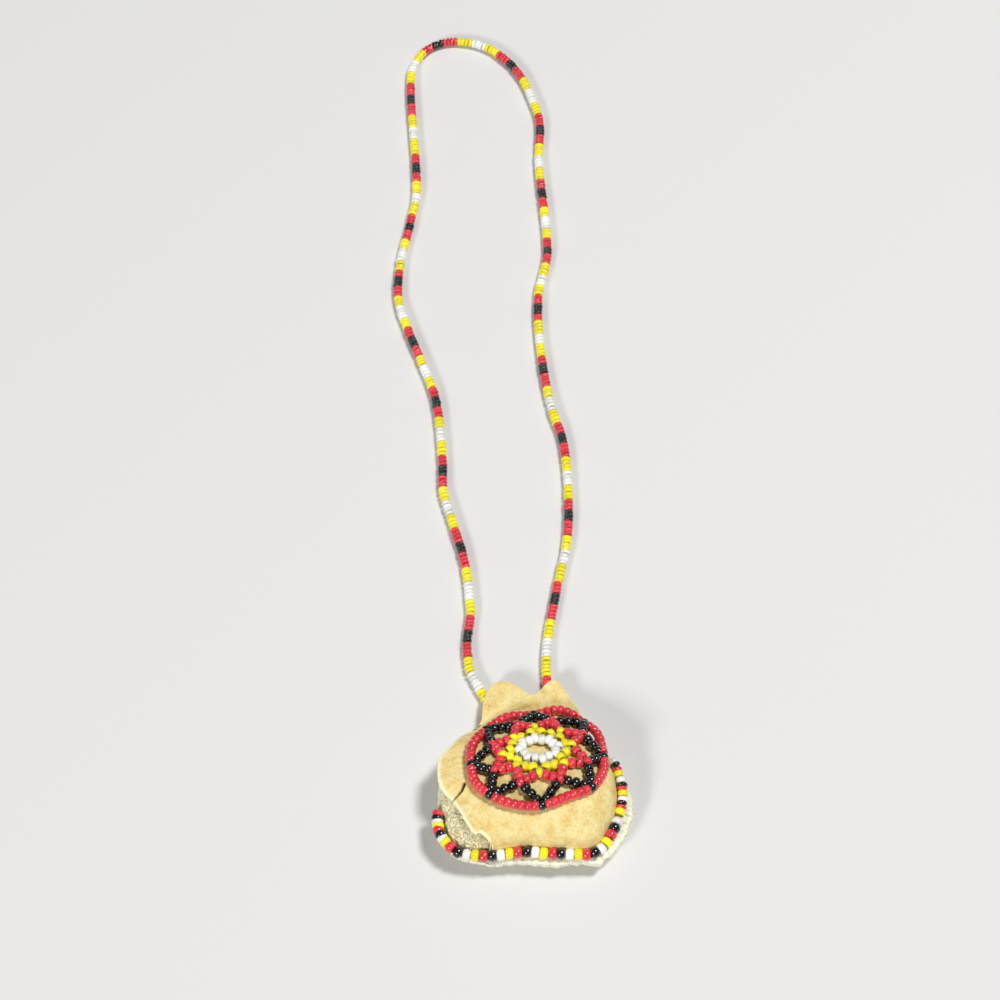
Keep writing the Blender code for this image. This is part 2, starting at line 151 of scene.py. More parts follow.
parting_line = smooth_curve(np.array(PARTING) * HALF, closed=True)
parting_angle = np.arctan2(parting_line[:, 1], parting_line[:, 0])
parting_reach = np.hypot(parting_line[:, 0], parting_line[:, 1])
margin_angle, margin_width = np.array(SEAM_MARGINS).T


def parting(angle):
    """Distance from the pouch's middle to the line where its two leathers part."""
    order = np.argsort(parting_angle)
    return np.interp(angle, parting_angle[order], parting_reach[order], period=2 * math.pi)


def left_side(angle):
    """1 on the bulging left side, 0 round the rest."""
    return step(np.cos(angle - SIDE_ANGLE), 0.8, 0.97)


def rim(angle):
    """Distance from the middle to the rim of the filled top."""
    return parting(angle) + SIDE_BULGE * left_side(angle)


def neck(angle):
    """1 at the mouth end, 0 round the rest."""
    return step(np.sin(angle), 0.45, 0.9)


def seam_top(angle):
    """Height of the seam allowance's upper face."""
    return SEAM_HEIGHT + (NECK_HEIGHT - SEAM_HEIGHT) * neck(angle)


def margin(angle):
    """Width of the seam allowance past the parting line."""
    return np.interp(np.degrees(angle), margin_angle, margin_width, period=360)


def seam_reach(angle):
    """Distance to the raw edge of the seam allowance: its width, cut a little wavy."""
    reach = parting(angle) + margin(angle)
    place = polar(reach, angle)
    return reach + 0.26 * waves(place, 3.4, 3) + 0.28 * waves(place, 9.0, 4)


def swell(points):
    """Low soft swell of the filled hide."""
    return 0.3 * waves(points, 12.0, 13)


def crown(y):
    """Height of the filling: full low down, falling as a power curve towards the mouth."""
    foot, mouth = -0.5 * HALF[1], 1.02 * HALF[1]
    share = np.clip((y - foot) / (mouth - foot), 0.0, 1.0)
    return POUCH_HEIGHT - (POUCH_HEIGHT - NECK_HEIGHT) * share ** 1.8


def rim_height(angle):
    """Height of the rim: just over the seam, and high on the left side."""
    seam = seam_top(angle)
    rise = np.maximum(crown(rim(angle) * np.sin(angle)) - seam, 0.0)
    return seam + GAP + SIDE_STEEPNESS * rise * left_side(angle)


def pouch_top(x, y):
    """Height of the filled top: from the crown it falls to the rim as a superellipse of the
    share of the way there."""
    angle = np.arctan2(y, x)
    share = np.clip(np.hypot(x, y) / rim(angle), 0.0, 1.0)
    low = rim_height(angle)
    return low + np.maximum(crown(y) - low, 0.0) * np.sqrt(1 - share ** FULLNESS)


def grid_faces(rows, columns):
    """Four-cornered faces of a grid of points that closes on itself along its columns."""
    row, column = np.meshgrid(np.arange(rows - 1), np.arange(columns), indexing="ij")
    here = row * columns + column
    beside = row * columns + (column + 1) % columns
    return np.stack([here, here + columns, beside + columns, beside], axis=-1).reshape(-1, 4)


def capped_faces(rows, columns):
    """Faces of a closed form: a grid, with a fan at each end to one of two last points."""
    faces = grid_faces(rows, columns)
    here = np.arange(columns)
    beside = (here + 1) % columns
    top, last = rows * columns, (rows - 1) * columns
    first_fan = np.column_stack([np.full(columns, top), here, beside])
    last_fan = np.column_stack([np.full(columns, top + 1), last + beside, last + here])
    return faces.tolist() + first_fan.tolist() + last_fan.tolist()


def add_piece(name, points, faces, materials, nodes=(), indices=None, marks=None):
    """Put a mesh into the scene, in its place in the frame, riding on the bag."""
    mesh = bpy.data.meshes.new(name)
    mesh.from_pydata((np.asarray(points) * MM + pouch_middle).tolist(), [], faces)
    for surface in materials:
        mesh.materials.append(surface)
    if indices is not None:
        mesh.polygons.foreach_set("material_index", np.asarray(indices, dtype=np.int32))
    for mark, values in (marks or {}).items():
        layer = mesh.attributes.new(mark, "FLOAT", "POINT")
        layer.data.foreach_set("value", np.asarray(values, dtype=np.float32))
    mesh.shade_smooth()
    made = bpy.data.objects.new(name, mesh)
    bpy.context.scene.collection.objects.link(made)
    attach(made, "root")
    if nodes:
        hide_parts(*nodes)
    return made


def hide_piece(name, surface, caps, cut_edge, crease_shade, leather, node):
    """One leather as a closed form: rows of places round it, a cap point for each end, and
    marks of 0 to 1 per place for its pale cut edges and for the shade painted into its creases."""
    rows, columns = surface.shape[:2]
    marks = {"cut_edge": np.append(cut_edge, [0, 0]), "crease_shade": np.append(crease_shade, [0, 0])}
    return add_piece(name, np.vstack([surface.reshape(-1, 3), caps]), capped_faces(rows, columns),
                     [leather], [node], marks=marks)


def new_material(name, colour, roughness):
    """A Principled material with its own plain values, and its node tree."""
    made = bpy.data.materials.new(name)
    made.use_nodes = True
    shader = made.node_tree.nodes["Principled BSDF"]
    shader.inputs["Base Color"].default_value = (*colour, 1.0)
    shader.inputs["Roughness"].default_value = roughness
    return made, made.node_tree, shader


def add_node(tree, kind, settings=(), **values):
    """One node with its settings and socket values. A name such as _0 means a socket's
    number, and a value may be another node's socket."""
    made = tree.nodes.new("ShaderNode" + kind)
    for key, value in dict(settings).items():
        setattr(made, key, value)
    for key, value in values.items():
        socket = made.inputs[int(key[1:]) if key[1:].isdigit() else key.replace("_", " ")]
        if isinstance(value, bpy.types.NodeSocket):
            tree.links.new(value, socket)
        else:
            socket.default_value = value
    return made


def calculate(tree, operation, *values):
    """Result of a Math node on numbers or sockets."""
    sockets = {f"_{number}": value for number, value in enumerate(values)}
    return add_node(tree, "Math", {"operation": operation}, **sockets).outputs[0]


def scale_by(tree, vector, factor):
    """A place or a colour times a factor."""
    return add_node(tree, "VectorMath", {"operation": "SCALE"}, _0=vector, Scale=factor).outputs[0]


def remap(tree, value, **limits):
    """A value moved from one range to another and held inside it."""
    return add_node(tree, "MapRange", Value=value, **limits).outputs[0]


def read_mark(tree, name):
    """A piece's own mark."""
    return add_node(tree, "Attribute", {"attribute_name": name}).outputs["Fac"]


def mixed(tree, factor, first, second):
    """The first colour with a share of a plain second one."""
    return add_node(tree, "MixRGB", Fac=factor, Color1=first, Color2=(*second, 1.0)).outputs[0]


def ramp_between(tree, factor, stops):
    """A colour ramp through (position, colour) stops."""
    made = add_node(tree, "ValToRGB", Fac=factor)
    while len(made.color_ramp.elements) < len(stops):
        made.color_ramp.elements.new(0.5)
    for element, (position, colour) in zip(made.color_ramp.elements, stops):
        element.position = position
        element.color = (*colour, 1.0)
    return made.outputs["Color"]


def make_hide_group():
    """Hide texture, in millimetres: cloudy mottling, brown specks, brushed nap fibres, open
    pores, and the branching ridges of a flesh side."""
    group = bpy.data.node_groups.new("hide_texture", "ShaderNodeTree")
    place = scale_by(group, add_node(group, "TexCoord").outputs["Object"], 1 / MM)
    brushed = add_node(group, "Mapping", Vector=place, Rotation=(0.0, 0.0, 0.9),
                       Scale=(2.6, 0.75, 1.5)).outputs[0]
    mottle = add_node(group, "TexNoise", Vector=place, Scale=0.22, Detail=6.0, Roughness=0.68)
    speck = add_node(group, "TexNoise", Vector=brushed, Scale=1.0, Detail=4.0, Roughness=0.8)
    nap = add_node(group, "TexNoise", Vector=brushed, Scale=1.9, Detail=5.0, Roughness=0.8)
    cells = add_node(group, "TexVoronoi", {"feature": "F1"}, Vector=place, Scale=1.7)
    worms = add_node(group, "TexNoise", Vector=place, Scale=0.6, Detail=0.6, Roughness=0.4,
                     Distortion=0.3)
    worms = calculate(group, "SUBTRACT", worms.outputs["Fac"], 0.5)
    results = {
        "Mottle": mottle.outputs["Fac"],
        "Specks": remap(group, speck.outputs["Fac"], From_Min=0.54, From_Max=0.72),
        "Nap": nap.outputs["Fac"],
        "Pores": remap(group, cells.outputs["Distance"], From_Min=0.05, From_Max=0.3),
        "Ridges": remap(group, calculate(group, "ABSOLUTE", worms), From_Min=0.0, From_Max=0.13),
    }
    for name in results:
        group.interface.new_socket(name, in_out="OUTPUT", socket_type="NodeSocketFloat")
    output = group.nodes.new("NodeGroupOutput")
    for name, value in results.items():
        group.links.new(value, output.inputs[name])
    return group


hide_texture = make_hide_group()


def make_leather(name, stops, speck, pale, painted_shade, nap, pore_shade_min, ridged, bump, roughness):
    """Hide of one finish: mottled and specked colour, with painted shade in its pores and
    between its nap's fibres and painted light on the fibres, paler where a cut edge shows,
    with painted shade in its creases, and ridged or brushed. On a ridged hide the colour
    follows the ridges, with painted shade in their grooves."""
    made, tree, shader = new_material(name, stops[1][1], roughness)
    shader.inputs["Specular IOR Level"].default_value = 0.25
    shader.inputs["Sheen Weight"].default_value = 0.12
    group = add_node(tree, "Group")
    group.node_tree = hide_texture
    hide = group.outputs
    # On a ridged hide the colour ramp follows the ridges and is darkest in their grooves, which is
    # painted shade; otherwise it follows random mottling.
    colour = ramp_between(tree, hide["Ridges" if ridged else "Mottle"], stops)
    colour = mixed(tree, calculate(tree, "MULTIPLY", hide["Specks"], 0.2), colour, speck)
    # Painted light and shade: the colour is darker between the nap's fibres and lighter on them,
    # and darker in the pores, following the same heights as the bump.
    fibres = remap(tree, hide["Nap"], From_Min=0.3, From_Max=0.7, To_Min=nap[0], To_Max=nap[1])
    pores = remap(tree, hide["Pores"], To_Min=pore_shade_min, To_Max=1.0)
    colour = scale_by(tree, colour, calculate(tree, "MULTIPLY", fibres, pores))
    edge = read_mark(tree, "cut_edge")
    colour = mixed(tree, edge, colour, pale)
    # Painted shade: the crease mark mixes in a dark colour where the leather is creased.
    colour = mixed(tree, read_mark(tree, "crease_shade"), colour, painted_shade)
    tree.links.new(colour, shader.inputs["Base Color"])
    height = calculate(tree, "MULTIPLY_ADD", hide["Pores"], 0.5, hide["Nap"])
    if ridged:
        height = calculate(tree, "MULTIPLY_ADD", hide["Ridges"], 2.2, height)
    smoother = calculate(tree, "MULTIPLY_ADD", edge, -0.7, 1.0)
    raised = add_node(tree, "Bump", Height=calculate(tree, "MULTIPLY", height, smoother),
                      Strength=bump, Distance=0.25 * MM)
    tree.links.new(raised.outputs[0], shader.inputs["Normal"])
    return made


# Its darkest colour stop is the painted shade in the grooves of its ridges.
rough_leather = make_leather(
    "rough_leather",
    stops=[(0.0, (0.52, 0.38, 0.15)), (0.3, (0.96, 0.85, 0.49)), (0.8, (1.0, 0.95, 0.64))],
    speck=(0.84, 0.70, 0.38), pale=(0.97, 0.95, 0.77), painted_shade=(0.30, 0.22, 0.10),
    nap=(0.84, 1.1), pore_shade_min=0.95, ridged=True, bump=0.7, roughness=0.95)


def make_pouch():
    """Surface of angle and row: filled top, bulging wall, seam allowance with its
    two-layer edge, belly and flat back, each row a reach and a height per angle."""
    angle = np.linspace(0, 2 * math.pi, POUCH_COLUMNS, endpoint=False)
    inner, outer = parting(angle), seam_reach(angle)
    flat_end = outer - SEAM_ROUND
    seam = seam_top(angle) + 0.3 * waves(polar(outer, angle), 11.0, 5) * (1 - neck(angle))
    rows, edge_mark, wall_mark = [], [], []

    def row(reach, height, mark=0.0, wall=0.3):
        rows.append(polar(reach, angle, height))
        edge_mark.append(np.full(POUCH_COLUMNS, mark))
        wall_mark.append(np.full(POUCH_COLUMNS, wall))

    for share in np.sin(np.linspace(0.12, math.pi / 2, 44)):
        reach = rim(angle) * share
        row(reach, pouch_top(reach * np.cos(angle), reach * np.sin(angle)), wall=1.0)
    for share in np.linspace(0, 1, 34)[1:]:
        row(rim(angle) + (inner + GAP - rim(angle)) * step(share, 0, 1),
            rim_height(angle) + (seam - rim_height(angle)) * share, wall=1.0 - 0.7 * share ** 4)
    for share in np.linspace(0, 1, 11)[1:]:
        row(inner + GAP + (flat_end - inner - GAP) * share, seam, 0.35 + 0.6 * share)
    for turn in np.linspace(0, math.pi, 13)[1:]:
        groove = GROOVE_DEPTH * np.exp(-((turn - math.pi / 2) / 0.25) ** 2)
        row(flat_end + SEAM_ROUND * math.sin(turn) - groove,
            seam - SEAM_THICKNESS * (1 - math.cos(turn)) / 2, 0.95)
    for share in np.linspace(1, 0, 6)[1:]:
        row(inner + (flat_end - inner) * share, seam - SEAM_THICKNESS, 0.9 * share)
    for share in np.linspace(1, REST_SHARE, 16)[1:]:
        rise = ((share - REST_SHARE) / (1 - REST_SHARE)) ** 2
        row(inner * share, (seam - SEAM_THICKNESS) * rise)
    for share in (0.5, 0.25, 0.06):
        row(inner * share, 0.0)

    surface, edge, wall = np.array(rows), np.array(edge_mark), np.array(wall_mark)
    across = (np.roll(surface, -1, axis=1) - np.roll(surface, 1, axis=1)) / 2
    normal = unit(np.cross(np.gradient(surface, axis=0), across))
    ridges = 1 - 2.2 * np.abs(waves(surface @ RIDGE_SLANT, 3.0, 11, 24))
    ridges = np.clip(ridges, -0.7, 1) * (1 - 0.6 * edge)
    free = np.clip(surface[:, :, 2] / 2.0, 0, 1)
    moved = (RIDGE_HEIGHT * ridges * wall + swell(surface)) * free
    surface = surface + normal * moved[:, :, None]
    surface[:, :, 2] = np.maximum(surface[:, :, 2], 0.0)
    caps = [[0, 0, pouch_top(0.0, 0.0)], [0, 0, 0]]
    # Painted shade: the valleys of the wall's ridges get the crease mark, so they are painted
    # darker.
    crease_shade = np.clip(-ridges * 0.12 * wall, 0, 0.08)
    return hide_piece("pouch_leather", surface, caps, edge, crease_shade, rough_leather,
                      "pouch")


pouch = make_pouch()


# Front leather: one sheet of smooth tan hide, cut with two rounded ears at the top. It is
# stitched in under the edging at the right and the bottom, and its cut left edge lies free.
LEATHER_THICKNESS = 1.2
EAR_LENGTH = 11.0
EAR_CURL = 0.05
FRONT_COLUMNS = 760
FRONT_ROWS = 100
EDGE_ROWS = 7
EDGE_ROUND = 0.25
EDGE_LIFT = 0.9
UNDER_STEP = 6
SEAM_REACH = 3.4
SEAM_SPAN = (-117, 46)
FRONT_WAVES = ((0.18, 9.0, 23), (0.05, 2.2, 24), (0.03, 1.1, 25, 24))
# Cut line of the ears in half widths and ear lengths, then of the free edge in half widths
# and half lengths
EAR_OUTLINE = (
    (0.68, -0.42), (0.57, 0.10), (0.42, 0.70), (0.35, 0.96), (0.28, 1.02),
    (0.20, 0.92), (0.13, 0.70), (0.05, 0.53), (-0.06, 0.66), (-0.20, 0.92),
    (-0.35, 0.98), (-0.45, 0.86), (-0.52, 0.55), (-0.56, 0.05), (-0.59, -0.45),
)
FREE_EDGE = (
    (-0.75, 0.60), (-0.91, 0.31), (-1.05, 0.06), (-1.05, -0.14), (-1.01, -0.29),
    (-0.93, -0.39), (-0.86, -0.47), (-0.80, -0.59), (-0.72, -0.74), (-0.65, -0.85),
    (-0.612, -0.885), (-0.595, -0.852), (-0.565, -0.855), (-0.51, -0.895), (-0.44, -0.965),
)
# Creases in the front, each a line of places with a half width and a depth at every place:
# a worn slit open at its upper end, the fold where the left ear meets the shoulder, and a
# faint one across the ear. Inside each one the leather is painted dark as its shade, darker
# where the crease is deeper.
CREASES = (
    (((-21.2, -6.7), (-22.0, -8.9), (-23.2, -10.4), (-24.6, -12.0)), (0.5, 0.42, 0.24, 0.18), 1.1),
    (((-16.7, 19.9), (-17.8, 18.6), (-19.8, 17.4), (-21.4, 15.6)), (0.5, 0.4, 0.35, 0.2), 0.7),
    (((-6.5, 26.0), (-3.2, 26.9), (0.4, 28.1)), (0.3, 0.4, 0.3), 0.22),
)


def front_base(x, y):
    """Height of the front leather's under face: over the pouch, then out along the ears
    and the seam allowance."""
    angle = np.arctan2(y, x)
    past = np.maximum(np.hypot(x, y) - rim(angle), 0.0)
    return pouch_top(x, y) + GAP + EAR_CURL * past * neck(angle)


def front_slopes(x, y, span):
    """Slopes of the under face along x and along y, each measured over twice the span."""
    return ((front_base(x + span, y) - front_base(x - span, y)) / (2 * span),
            (front_base(x, y + span) - front_base(x, y - span)) / (2 * span))


def front_reach():
    """Outline of the front leather as a distance for each angle round the pouch's middle."""
    low = np.linspace(*SEAM_SPAN, 60)
    tucked = step(low, -119, -108) * (1 - step(low, 5, 30))
    seam = polar(parting(np.radians(low)) + SEAM_REACH * tucked, np.radians(low))[:, :2]
    ears = np.array(EAR_OUTLINE) * (HALF[0], EAR_LENGTH) + (0.0, HALF[1])
    free = np.array(FREE_EDGE) * HALF
    outline = np.vstack([seam, smooth_curve(np.vstack([ears, free]), closed=False)])
    around = np.unwrap(np.arctan2(outline[:, 1], outline[:, 0])) % (2 * math.pi)
    order = np.argsort(around)
    angle = np.linspace(0, 2 * math.pi, FRONT_COLUMNS, endpoint=False)
    reach = np.interp(angle, around[order], np.hypot(outline[:, 0], outline[:, 1])[order],
                      period=2 * math.pi)
    return angle, reach


def crease_depth(x, y):
    """Depth of the creases and the shade painted into them: a bell curve of the distance from each
    line.
    """
    depth, painted_shade = np.zeros_like(x), np.zeros_like(x)
    for places, widths, deep in CREASES:
        bell = np.zeros_like(x)
        for start, end, narrow, wide in zip(places[:-1], places[1:], widths[:-1], widths[1:]):
            a, b = np.array(start), np.array(end)
            way = b - a
            share = np.clip(((x - a[0]) * way[0] + (y - a[1]) * way[1]) / (way @ way), 0, 1)
            off = np.hypot(x - a[0] - share * way[0], y - a[1] - share * way[1])
            bell = np.maximum(bell, np.exp(-(off / (narrow + (wide - narrow) * share)) ** 4))
        depth += deep * bell
        painted_shade = np.maximum(painted_shade, bell * min(1.4 * deep, 1.0))
    return depth, painted_shade


tan_leather = make_leather(
    "tan_leather",
    stops=[(0.32, (0.80, 0.55, 0.19)), (0.46, (0.93, 0.72, 0.28)), (0.60, (0.98, 0.84, 0.40))],
    speck=(0.66, 0.38, 0.12), pale=(0.95, 0.87, 0.56), painted_shade=(0.035, 0.02, 0.008),
    nap=(0.66, 1.2), pore_shade_min=0.66, ridged=False, bump=0.6, roughness=0.85)


def make_front():
    """Sheet of angle and row laid over the pouch: the upper face is the under face moved
    out along its own normal by the leather's thickness, and a round cut edge joins them.
    The under face, out of sight, has fewer rows."""
    angle, reach = front_reach()
    rim_place = polar(reach, angle)
    reach = reach + 0.08 * waves(rim_place, 1.6, 21) + 0.14 * waves(rim_place, 6.0, 22)
    share = np.linspace(0.02, 1, FRONT_ROWS)[:, None] ** 0.8
    x = reach * share * np.cos(angle)
    y = reach * share * np.sin(angle)
    slope_x, slope_y = front_slopes(x, y, 0.25)
    normal = unit(np.stack([-slope_x, -slope_y, np.ones_like(x)], axis=-1))
    flat = np.stack([x, y, front_base(x, y)], axis=-1)
    around = np.arctan2(y, x)
    at_seam = step(np.hypot(x, y) - rim(around), -3.0, 0.5) * (1 - neck(around))
    stitched = at_seam * step(np.cos(around + math.radians(45)), -0.35, 0.0)
    thickness = LEATHER_THICKNESS * (1 - 0.55 * stitched)
    depth, painted_shade = crease_depth(x, y)
    lifted = step(share, 0.86, 1.0) * step(np.cos(angle - math.radians(205)), 0.55, 0.8)
    lift = EDGE_LIFT * lifted
    soft = sum(height * waves(flat, *wave) for height, *wave in FRONT_WAVES)
    upper = flat + normal * (thickness + lift + soft - depth)[..., None]
    lower = (flat + normal * lift[..., None])[::-1]
    rows = [upper]
    for turn in np.linspace(0, math.pi, EDGE_ROWS + 2)[1:-1]:
        middle = lower[0] + (upper[-1] - lower[0]) * (1 + math.cos(turn)) / 2
        rows.append((middle + polar(EDGE_ROUND * math.sin(turn), angle))[None])
    surface = np.concatenate([*rows, lower[::UNDER_STEP]])
    free = step(np.cos(angle - math.radians(186)), 0.45, 0.62)
    edge = np.zeros(surface.shape[:2])
    edge[:FRONT_ROWS] = free * step(reach * (1 - share), 0.95, 0.6)
    edge[FRONT_ROWS - 1:FRONT_ROWS + EDGE_ROWS] = 0.35 + 0.65 * free
    crease_shade = np.zeros(surface.shape[:2])
    # Painted shade: the creases are painted dark by this mark.
    crease_shade[:FRONT_ROWS] = np.clip(painted_shade, 0, 1)
    caps = [upper[0].mean(axis=0), surface[-1].mean(axis=0)]
    return hide_piece("front_leather_sheet", surface, caps, edge, crease_shade, tan_leather,
                      "front_leather")


front = make_front()


# Seed beads: short round-edged rings of opaque glass with a hole along their thread. The
# rosette's are of one size, most of the edging's are larger and the strand's are thin discs.
BEAD_DIAMETER = 3.5
BEAD_LENGTH = 2.5
BEAD_HOLE = 0.9
BEAD_TILT = 0.06
BEAD_SECTION = (90, 45, 350, 270, 190, 135)
SECTION_SWELL = 1.06
BEAD_COLOURS = {
    "white": ((0.94, 0.93, 0.88), 0.20),
    "yellow": ((0.98, 0.84, 0.012), 0.18),
    "red": ((0.78, 0.035, 0.05), 0.16),
    "black": ((0.004, 0.004, 0.004), 0.12),
}


def make_tone_group():
    """Bead to bead difference: a tone mark per bead makes its colour lighter or darker,
    with faint clouding in the glass."""
    group = bpy.data.node_groups.new("bead_tone", "ShaderNodeTree")
    group.interface.new_socket("Color", in_out="INPUT", socket_type="NodeSocketColor")
    group.interface.new_socket("Color", in_out="OUTPUT", socket_type="NodeSocketColor")
    value = group.nodes.new("NodeGroupInput").outputs["Color"]
    result = group.nodes.new("NodeGroupOutput").inputs["Color"]
    place = add_node(group, "TexCoord").outputs["Object"]
    cloud = add_node(group, "TexNoise", Vector=place, Scale=700.0, Detail=2.0).outputs["Fac"]
    both = calculate(group, "MULTIPLY_ADD", cloud, 0.25, read_mark(group, "tone"))
    factor = remap(group, both, From_Min=-0.9, From_Max=1.1, To_Min=0.78, To_Max=1.14)
    group.links.new(scale_by(group, value, factor), result)
    return group


bead_tone = make_tone_group()


def make_bead_glass(name, colour, roughness):
    """Opaque glossy glass of one colour."""
    made, tree, shader = new_material(f"{name}_bead_glass", colour, roughness)
    shader.inputs["Coat Weight"].default_value = 1.0
    shader.inputs["Coat Roughness"].default_value = 0.05
    shader.inputs["Coat IOR"].default_value = 1.5
    tone = add_node(tree, "Group")
    tone.node_tree = bead_tone
    tone.inputs["Color"].default_value = (*colour, 1.0)
    tree.links.new(tone.outputs["Color"], shader.inputs["Base Color"])
    return made


bead_glass = {name: make_bead_glass(name, *look) for name, look in BEAD_COLOURS.items()}


def make_beads(centres, axes, length, diameter, seed, around):
    """All beads of a run as one array: an oval section turned round each bead's axis, with
    small seeded differences of size and tilt. Length and diameter may differ bead to bead."""
    rng = np.random.default_rng(seed)
    count = len(centres)
    section = np.radians(BEAD_SECTION)
    outer = (np.broadcast_to(diameter, count) * rng.uniform(0.96, 1.04, count) / 2)[:, None, None]
    wall = (outer - BEAD_HOLE / 2) / 2
    radial = outer - wall + wall * SECTION_SWELL * np.sin(section)[None, :, None]
    half = (np.broadcast_to(length, count) * rng.uniform(0.94, 1.03, count) / 2)[:, None, None]
    lift = half * SECTION_SWELL * np.cos(section)[None, :, None]
    axes = unit(axes + rng.normal(0, BEAD_TILT, axes.shape))
    side = unit(np.cross(np.array([0.0, 0.0, 1.0]), axes))
    up = np.cross(axes, side)
    spin = np.linspace(0, 2 * math.pi, around, endpoint=False)[None, :, None]
    way = side[:, None, :] * np.cos(spin) + up[:, None, :] * np.sin(spin)
    points = (centres[:, None, None, :] + axes[:, None, None, :] * lift[..., None]
              + way[:, None, :, :] * radial[..., None])
    ring, turn = np.meshgrid(np.arange(len(section)), np.arange(around), indexing="ij")
    next_ring = ((ring + 1) % len(section)) * around
    beside = (turn + 1) % around
    one = np.stack([ring * around + turn, ring * around + beside, next_ring + beside,
                    next_ring + turn], axis=-1).reshape(-1, 4)[:, ::-1]
    per_bead = len(section) * around
    faces = (one[None] + (np.arange(count) * per_bead)[:, None, None]).reshape(-1, 4)
    tone = np.repeat(rng.uniform(-0.8, 0.8, count), per_bead)
    return points.reshape(-1, 3), faces, tone, len(one)


def bead_piece(name, runs, colours, nodes, seed, length=BEAD_LENGTH,
               diameter=BEAD_DIAMETER, around=12):
    """One piece of many beads: runs that start with their centres and axes, and one colour
    name per bead."""
    centres = np.vstack([run[0] for run in runs])
    axes = np.vstack([run[1] for run in runs])
    points, faces, tone, per_bead = make_beads(centres, axes, length, diameter, seed, around)
    used = [colour for colour in BEAD_COLOURS if colour in colours]
    index = np.repeat([used.index(colour) for colour in colours], per_bead)
    return add_piece(name, points, faces.tolist(), [bead_glass[colour] for colour in used],
                     nodes, indices=index, marks={"tone": tone})


# Netted rosette: a ring of white beads, then rounds of netting worked outwards on one
# thread, yellow points, red petals and black vees, and a red rim that runs between the
# vees' tips. It is tacked down on the front leather.
RING_MIDDLE = (2.8, 6.2)
RING_HALVES = (6.0, 4.3)
RING_BEADS = 16
BEAD_SEAT = 0.1
NET_THREAD = 0.4
PETAL_ARM_BEADS = 2
VEE_ARM_BEADS = 3
RIM_BEADS = 7
RIM_STEPS = 20
NET_ROUNDS = (("ring", "white", "centre_ring", 31), ("star", "yellow", "star_point", 32),
              ("petal", "red", "petal", 33), ("vee", "black", "vee", 34), ("rim", "red", "rim", 35))
# A tacking stitch stands beside its place in the net, each of its bends so far out and so
# high over the leather
TACK_ASIDE = 1.25
TACK_BENDS = ((-0.9, -0.3), (-0.54, 1.3), (0.0, 2.1), (0.54, 1.3), (0.9, -0.3))

# The net is tacked down by hand, so its tips are pulled about: for each of the eight points
# round from the right, the star's tip and its two foot beads, and the tips of the petal and
# the vee after and before it, and the middle of the rim run between two vees
STAR_TIPS = np.array([(13.5, 7.9), (10.0, 13.9), (1.5, 15.7), (-5.4, 10.6),
                      (-8.9, 3.1), (-4.5, -1.1), (2.9, -3.9), (10.9, -0.2)])
STAR_FEET = np.array([((11.6, 4.6), (11.1, 8.6)), ((9.7, 11.2), (6.8, 12.8)),
                      ((3.6, 13.5), (0.2, 13.2)), ((-2.9, 11.1), (-5.8, 7.9)),
                      ((-6.6, 5.4), (-6.5, 2.6)), ((-4.3, 0.9), (-1.8, -1.3)),
                      ((0.8, -1.6), (5.2, -1.5)), ((7.8, -0.7), (9.8, 2.4))])
PETAL_TIPS = np.array([(17.2, 13.3), (7.4, 19.2), (-4.3, 17.3), (-12.3, 7.7),
                       (-11.6, -3.1), (-3.3, -7.7), (9.5, -6.3), (18.5, 0.9)])
VEE_TIPS = np.array([(23.9, 3.9), (18.0, 19.6), (1.3, 22.6), (-14.3, 15.4),
                     (-19.2, -0.8), (-13.2, -11.9), (3.7, -15.5), (19.8, -8.6)])
RIM_MIDDLES = np.array([(22.6, 13.9), (10.0, 25.3), (-7.4, 21.6), (-18.9, 7.5),
                        (-18.0, -6.7), (-5.8, -15.1), (12.5, -12.3), (23.7, -2.0)])


def lay(flat):
    """Lay net places over the leather: lifted by half a bead along z, more where the
    leather is steep."""
    x, y = flat.T
    slope_x, slope_y = front_slopes(x, y, 0.5)
    steep = np.minimum(np.sqrt(1 + slope_x ** 2 + slope_y ** 2), 1.6)
    z = front_base(x, y) + (LEATHER_THICKNESS + BEAD_DIAMETER / 2 + BEAD_SEAT) * steep
    return np.column_stack([x, y, z])


def strung(flat, before, after):
    """Centres, axes and thread of a run of beads: each axis runs from the bead before to the
    bead after, and the thread goes on to the places before the first and after the last."""
    line = lay(np.vstack([before, flat, after]))
    return line[1:-1], unit(line[2:] - line[:-2]), line


def tube_along(line, radius, sides, start):
    """Round thread along a line of places: rings square to the line's own direction, with
    faces that count their points from start."""
    ahead = unit(np.gradient(line, axis=0))
    side = unit(np.cross(ahead, [0.05, 0.08, 1.0]))
    up = np.cross(side, ahead)
    spin = np.linspace(0, 2 * math.pi, sides, endpoint=False)[None, :, None]
    rings = line[:, None] + radius * (side[:, None] * np.cos(spin) + up[:, None] * np.sin(spin))
    points = rings.reshape(-1, 3)
    first_end = start + np.arange(sides)
    last_end = start + len(points) - 1 - np.arange(sides)
    walls = start + grid_faces(len(line), sides)[:, ::-1]
    return points, [*walls.tolist(), first_end.tolist(), last_end.tolist()]


def thread_piece(name, lines, diameter, nodes=(), sides=5):
    """Many lengths of thread as one piece."""
    points, faces, start = [], [], 0
    for line in lines:
        more_points, more_faces = tube_along(line, diameter / 2, sides, start)
        points.append(more_points)
        faces += more_faces
        start += len(more_points)
    return add_piece(name, np.vstack(points), faces, [waxed_thread], nodes)


